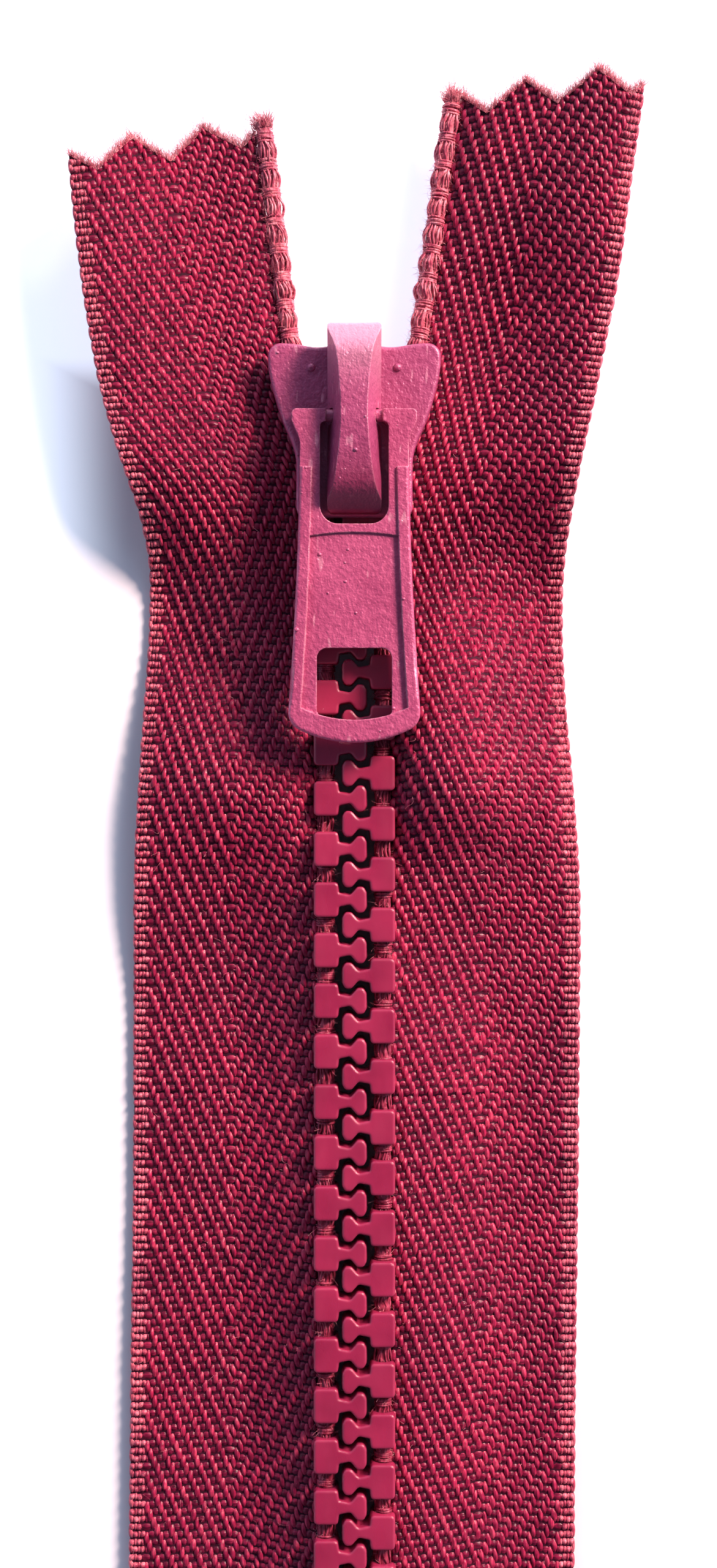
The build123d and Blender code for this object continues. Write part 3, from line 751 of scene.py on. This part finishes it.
def paint_material(name, low, high, wear_and_edge_highlight, on_cover=False):
    """Satin lacquer over a rough casting: shallow dimples, fine pimples, light scuffs and painted
    highlights on its edges.
    """
    shader = Shader(name)
    cloud = shader.noise(420, 3.0)
    colours = shader.ramp(cloud, "Fac", [(0.32, low), (0.68, high)])
    dimple = shader.noise(3300, 2.0, (1, 0.7, 1))
    pimple = shader.noise(6500, 1.0)
    # Painted shade and highlight: the dimples are darker and the rises between them lighter.
    tone = shader.ramp(dimple, "Fac", [(0.30, (0.88, 0.86, 0.88)), (0.70, (1.10, 1.10, 1.08))])
    scratch = shader.noise(2600, 0.0, (1, 0.22, 1))
    scuff = shader.ramp(scratch, "Fac", [(0.735, (0, 0, 0)), (0.80, (1, 1, 1))])
    colour = shader.mix(colours.outputs[0], tone.outputs[0], 0.8, "MULTIPLY")
    colour = shader.mix(colour, wear_and_edge_highlight, shader.math("MULTIPLY", scuff.outputs[0], 0.5))
    rounded = shader.rounded(0.00015)
    # Partly wear and partly painted highlight: the edges that the rounding bends turn paler, as
    # where they catch the light.
    edge_wear_and_highlight = shader.ramp(scratch, "Fac", [(0.35, (0.15, 0.15, 0.15)), (0.65, (0.75, 0.75, 0.75))])
    edge_wear_and_highlight = shader.math("MULTIPLY", shader.edges(rounded), edge_wear_and_highlight.outputs[0])
    colour = shader.mix(colour, wear_and_edge_highlight, edge_wear_and_highlight)
    if on_cover:
        # Painted highlight and shade: the cover is paler towards its upper end, which faces the
        # light, and much darker towards its lower end, which faces away from it.
        lit_upper_end = shader.remap(shader.along("Y"), 70.0 * MM, 77.5 * MM)
        colour = shader.mix(colour, (0.88, 0.50, 0.62), shader.math("MULTIPLY", lit_upper_end, 0.55))
        thick = shader.remap(shader.along("Y"), 68.0 * MM, 62.8 * MM)
        colour = shader.mix(colour, (0.14, 0.004, 0.030), shader.math("MULTIPLY", thick, 0.75))
    rough = shader.ramp(dimple, "Fac", [(0.3, (0.34, 0.34, 0.34)), (0.75, (0.50, 0.50, 0.50))])
    under = shader.bump(dimple.outputs["Fac"], 1.0, 0.00008, rounded)
    normal = shader.bump(pimple.outputs["Fac"], 0.8, 0.00004, under)
    return shader.finish(
        colour, rough.outputs[0], normal, Coat_Weight=0.45, Coat_Roughness=0.30, Metallic=0.10
    )


def steel_material():
    """Bare spring steel, brushed along the leaf."""
    shader = Shader("spring_steel")
    brush = shader.noise(4000, 2.0, (1, 0.05, 1))
    colours = shader.ramp(brush, "Fac", [(0.3, (0.45, 0.45, 0.46)), (0.7, (0.62, 0.62, 0.63))])
    normal = shader.bump(brush.outputs["Fac"], 0.1, 0.00003)
    return shader.finish(colours.outputs[0], 0.32, normal, Metallic=1.0)


def floor_material():
    """White paper that glows a little round the zipper and beyond its ends."""
    shader = Shader("white_paper")
    grain = shader.noise(600, 3.0)
    colours = shader.ramp(grain, "Fac", [(0.3, (0.90, 0.90, 0.93)), (0.7, (0.92, 0.92, 0.95))])
    beside = shader.math("ABSOLUTE", shader.along("X"))
    beside = shader.remap(beside, 16.5 * MM, 24 * MM)
    above = shader.remap(shader.along("Y"), 71 * MM, 75 * MM)
    below = shader.remap(shader.along("Y"), END_Y * MM, (END_Y - 5) * MM)
    glow = shader.math("MAXIMUM", beside, shader.math("MAXIMUM", above, below))
    glow = shader.math("MULTIPLY", glow, 0.84)
    shader.tree.links.new(glow, shader.surface.inputs["Emission Strength"])
    shader.surface.inputs["Emission Color"].default_value = (0.74, 0.83, 1.0, 1.0)
    return shader.finish(colours.outputs[0], 0.9, None, Specular_IOR_Level=0.1)


# ---- Stage --------------------------------------------------------------------------
FLOOR_HALF = 1500.0
FLOOR_DROP = 0.02  # keeps the floor clear of the slider's lower face
VIEW_X = 0.3  # what the camera looks at, in millimetres
VIEW_Y = 43.0
VIEW_HEIGHT = 160.0  # of the camera above the floor
SEEN_HEIGHT = 114.8  # of the picture, at the tapes


def make_camera():
    """Straight down on the part of the zipper that the view takes in."""
    camera = bpy.data.cameras.new("camera")
    camera.sensor_fit = "VERTICAL"
    camera.sensor_height = 24.0
    camera.lens = 24.0 * (VIEW_HEIGHT - MID_Z) / SEEN_HEIGHT
    camera.clip_start = 0.005
    camera.clip_end = 5.0
    holder = bpy.data.objects.new("camera", camera)
    holder.location = (VIEW_X * MM, VIEW_Y * MM, VIEW_HEIGHT * MM)
    bpy.context.scene.collection.objects.link(holder)
    bpy.context.scene.camera = holder


def area_light(name, place, target, size, power, colour):
    """A rectangular lamp, placed in millimetres, that faces a point."""
    lamp = bpy.data.lights.new(name, "AREA")
    lamp.shape = "RECTANGLE"
    lamp.size, lamp.size_y = size
    lamp.energy = power
    lamp.color = colour
    holder = bpy.data.objects.new(name, lamp)
    holder.location = [value * MM for value in place]
    aim = np.array(target, float) - np.array(place, float)
    flat = math.hypot(aim[0], aim[1])
    holder.rotation_euler = (
        math.atan2(flat, -aim[2]),
        0,
        math.atan2(aim[1], aim[0]) - math.pi / 2,
    )
    bpy.context.scene.collection.objects.link(holder)


def make_sky():
    """Cool light, weaker from the zipper's lower end, and dark straight overhead."""
    world = bpy.data.worlds.new("studio")
    world.use_nodes = True
    nodes, links = world.node_tree.nodes, world.node_tree.links
    where = nodes.new("ShaderNodeTexCoord")
    parts = nodes.new("ShaderNodeSeparateXYZ")
    ramp = nodes.new("ShaderNodeValToRGB")
    links.new(where.outputs["Generated"], parts.inputs["Vector"])
    links.new(parts.outputs["Z"], ramp.inputs["Fac"])
    links.new(ramp.outputs["Color"], nodes["Background"].inputs["Color"])
    ramp.color_ramp.elements[0].position = 0.66
    ramp.color_ramp.elements[0].color = (0.50, 0.57, 0.78, 1.0)
    ramp.color_ramp.elements[1].position = 0.88
    ramp.color_ramp.elements[1].color = (0.06, 0.07, 0.10, 1.0)
    strength = nodes.new("ShaderNodeMapRange")
    strength.inputs["From Min"].default_value = -0.9
    strength.inputs["From Max"].default_value = 0.6
    strength.inputs["To Min"].default_value = 0.20
    strength.inputs["To Max"].default_value = 1.40
    links.new(parts.outputs["Y"], strength.inputs["Value"])
    links.new(strength.outputs["Result"], nodes["Background"].inputs["Strength"])
    bpy.context.scene.world = world


def make_stage():
    """The floor, a warm key lamp from the upper right, a weak rim lamp and the sky."""
    points = np.array([(-1, -1, 0), (1, -1, 0), (1, 1, 0), (-1, 1, 0)]) * FLOOR_HALF
    points = points - [0, 0, FLOOR_DROP]
    floor = mesh_object("floor", points, [(0, 1, 2, 3)], floor_material(), False)
    area_light("key", (310, 300, 255), (0, VIEW_Y, 0), (0.13, 0.13), 5.1, (1.0, 0.73, 0.65))
    area_light("rim", (170, 420, 190), (0, VIEW_Y, 0), (0.08, 0.05), 0.5, (1.0, 0.86, 0.86))
    make_sky()
    bpy.context.scene.view_settings.view_transform = "Standard"


# ---- The pieces -------------------------------------------------------------------
SPAN_TOP = 20.0  # height at which the middle span of a tape meets the top one
CUT_FIBRES = 2600  # at each pinked end of a tape
FREE_FIBRES = 900  # more of them on the cord's free end
TUFT_FIBRES = 420
TAPE_HAIRS = 3  # loose hairs for each millimetre of a tape
CORD_HAIRS = 22  # and of a cord
HAIR_TOP = 90  # the tape's hairs stop here, below the pinked ends
CORD_SHORT = 0.6  # how far below the tape's end a cord ends
BARE_TIP = 1.6  # no puff starts this close to a cord's free end


def blend_over_hinge(piece):
    """Bakes a piece's place into its points; the piece is neither bent nor attached to a body."""
    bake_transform(piece)


def make_tape(side, yarns, gaps):
    """One tape in three spans: the cloth, its yarns on both faces, and its loose hairs."""
    word = WORD[side]
    middle = sum(HINGES[side]) / 2
    spans = [
        ("closed", END_Y - 5, middle, [f"tape_{word}_bottom"], 0),
        ("middle", middle, SPAN_TOP, [f"tape_{word}_lower"], 1),
        ("top", SPAN_TOP, TRACK_END, [f"tape_{word}_upper"], None),
    ]
    for span, low, high, nodes, hinge in spans:
        cloth = mesh_object(f"cloth_{word}_{span}", *web(side, low, high), gaps)
        front, back = weave(side, 1, low, high), weave(side, -1, low, high)
        warp = join_parts([front["warp"], back["warp"]])
        weft = join_parts([front["weft"], back["weft"]])
        edge = join_parts([front["edge"], back["edge"], selvedge_loops(side, low, high)])
        pieces = [
            mesh_object(f"warp_{word}_{span}", *warp, yarns["warp"]),
            mesh_object(f"weft_{word}_{span}", *weft, yarns["weft"]),
            mesh_object(f"selvedge_{word}_{span}", *edge, yarns["edge"]),
        ]
        hair_top = min(high, HAIR_TOP)
        count = int((hair_top - low) * TAPE_HAIRS)
        hairs = [loose_fibres(side, max(low, END_Y), hair_top, count)]
        if span == "top":
            hairs.append(cut_fibres(side, 1, CUT_FIBRES))
        if span == "closed":
            hairs.append(cut_fibres(side, -1, CUT_FIBRES))
        pieces.append(mesh_object(f"fibres_{word}_{span}", *join_parts(hairs), yarns["hair"]))
        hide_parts(*nodes)
        for piece in [cloth, *pieces]:
            if hinge is None:
                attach(piece, f"{word}_upper")
            else:
                blend_over_hinge(piece)


def make_cord(side, material, hair):
    """One cord in three spans, each with its fuzz."""
    word = WORD[side]
    middle = sum(HINGES[side]) / 2
    top = float(np.interp(TOP_Y[side], TRACKS[side][2], TRACKS[side][0])) - CORD_SHORT
    spans = [
        ("closed", END_Y - 0.2, middle, [f"cord_{word}_bottom"], 0),
        ("middle", middle, SPAN_TOP, [f"cord_{word}_lower"], 1),
        ("top", SPAN_TOP, top, [f"cord_{word}_upper"], None),
    ]
    for span, low, high, nodes, hinge in spans:
        yarns = [
            cord_core(side, low, high + 0.3),
            cord_wraps(side, low, high),
            cord_puffs(side, low, high - BARE_TIP * (hinge is None)),
        ]
        cord = mesh_object(f"cord_{word}_{span}", *join_parts(yarns), material)
        fuzz = [cord_fibres(side, low, high, int((high - low) * CORD_HAIRS))]
        if span == "top":
            fuzz.append(cord_fibres(side, MOUTH_Y, high, FREE_FIBRES))
            fuzz.append(cord_tuft(side, 1, high, TUFT_FIBRES))
        if span == "closed":
            fuzz.append(cord_tuft(side, -1, low, TUFT_FIBRES))
        hairs = mesh_object(f"cord_fuzz_{word}_{span}", *join_parts(fuzz), hair)
        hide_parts(*nodes)
        for piece in (cord, hairs):
            if hinge is None:
                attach(piece, f"{word}_upper")
            else:
                blend_over_hinge(piece)


RAY_FROM = 50.0  # a height above every piece


def surface_at(node, x, y):
    """Top surface of a CAD node above a point: its place and its normal, in millimetres."""
    down = (0.0, 0.0, -1.0)
    hit, place, normal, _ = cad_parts[node].ray_cast((x * MM, y * MM, RAY_FROM * MM), down)
    return (np.array(place) / MM, np.array(normal)) if hit else None


def dome(wide, deep, rise, sink, rings, sides):
    """Points of a low dome round its own middle, sunk a little under its foot."""
    up = np.linspace(0, np.pi / 2, rings)[:, None]
    turn = np.linspace(0, 2 * np.pi, sides)[None]
    x = np.cos(up) * np.cos(turn) * wide
    y = np.cos(up) * np.sin(turn) * deep
    z = np.sin(up) * rise + 0 * turn - sink
    return np.stack([x, y, z], -1).reshape(-1, 3)


def paint_pips(node, body, material, count, spread):
    """Small beads of lacquer that dried on the casting."""
    low, high = (np.array(corner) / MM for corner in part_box(node))
    rings, sides = 4, 9
    parts = []
    while len(parts) < count:
        x = RNG.uniform(low[0] + spread, high[0] - spread)
        y = RNG.uniform(low[1] + spread, high[1] - spread)
        size = RNG.uniform(0.05, 0.13) * RNG.choice([1.0, 1.0, 1.5])
        found = surface_at(node, x, y)
        if found is None or found[1][2] < 0.9:
            continue
        bead = dome(size * 1.1, size, size * 0.75, 0.02, rings, sides)
        parts.append((found[0] + bead, grid_faces(rings, sides)))
    piece = mesh_object(f"paint_pips_{node}", *join_parts(parts), material)
    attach(piece, body)


def wing_pips(material):
    """A round pip on each wing, a little larger than the casting's own."""
    rings, sides = 7, 25
    parts = []
    for side in (-1, 1):
        # The wing's height is read just outside the casting's pip.
        place, _ = surface_at("slider_body", side * (PIP_X + PIP_CLEAR), PIP_Y)
        place[0] = side * PIP_X
        pip = dome(PIP_R, PIP_R, PIP_RISE, 0.04, rings, sides)
        parts.append((place + pip, grid_faces(rings, sides)))
    piece = mesh_object("wing_pips", *join_parts(parts), material)
    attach(piece, "slider")


def paint_nodes():
    """Gives every CAD node that stays its material; returns the two that pieces share."""
    teeth = tooth_material()
    casting = (0.33, 0.050, 0.140), (0.41, 0.070, 0.180), (0.76, 0.32, 0.44)
    slider = paint_material("slider_paint", *casting)
    pull = paint_material(
        "pull_paint", (0.41, 0.060, 0.158), (0.50, 0.086, 0.200), (0.80, 0.34, 0.44)
    )
    cover = paint_material("cover_paint", *casting, on_cover=True)
    chosen = {"slider_body": slider, "slider_cover": cover, "pull_tab": pull}
    chosen["lock_spring"] = steel_material()
    for name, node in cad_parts.items():
        if "tooth" in name or "teeth" in name or "stop" in name:
            chosen[name] = teeth
        if name in chosen:
            for slot in node.material_slots:
                slot.material = chosen[name]
    return slider, pull


make_camera()
make_stage()
WARP = yarn_material(
    "warp_yarn", (0.23, 0.007, 0.040), (0.335, 0.014, 0.063), (0.49, 0.046, 0.105), (1, 0.06, 1)
)
# Painted shade: the weft's colours are darker than the warp's, for the shade that the warp floats
# cast on it.
WEFT = yarn_material(
    "weft_yarn", (0.11, 0.004, 0.024), (0.185, 0.007, 0.039), (0.29, 0.017, 0.060), (0.06, 1, 1)
)
HAIR = yarn_material(
    "loose_fibre", (0.55, 0.10, 0.16), (0.70, 0.20, 0.27), (0.84, 0.38, 0.44), (1, 0.2, 1)
)
# The cord's last colour is painted shade, laid over it along the chain.
CORD = yarn_material(
    "cord_yarn", (0.36, 0.045, 0.095), (0.56, 0.12, 0.18), (0.76, 0.27, 0.33), (1, 0.3, 1),
    chain_shade=(0.55, 0.28, 0.42),
)
EDGE = yarn_material(
    "selvedge_yarn", (0.34, 0.035, 0.080), (0.50, 0.085, 0.140), (0.68, 0.18, 0.24), (1, 0.2, 1)
)
GAPS = web_material()
for side in (-1, 1):
    make_tape(side, {"warp": WARP, "weft": WEFT, "edge": EDGE, "hair": HAIR}, GAPS)
    make_cord(side, CORD, HAIR)
SLIDER, PULL = paint_nodes()
wing_pips(SLIDER)
paint_pips("slider_body", "slider", SLIDER, 10, 0.4)
paint_pips("slider_cover", "slider", SLIDER, 5, 0.7)
paint_pips("pull_tab", "pull_tab", PULL, 16, 0.3)
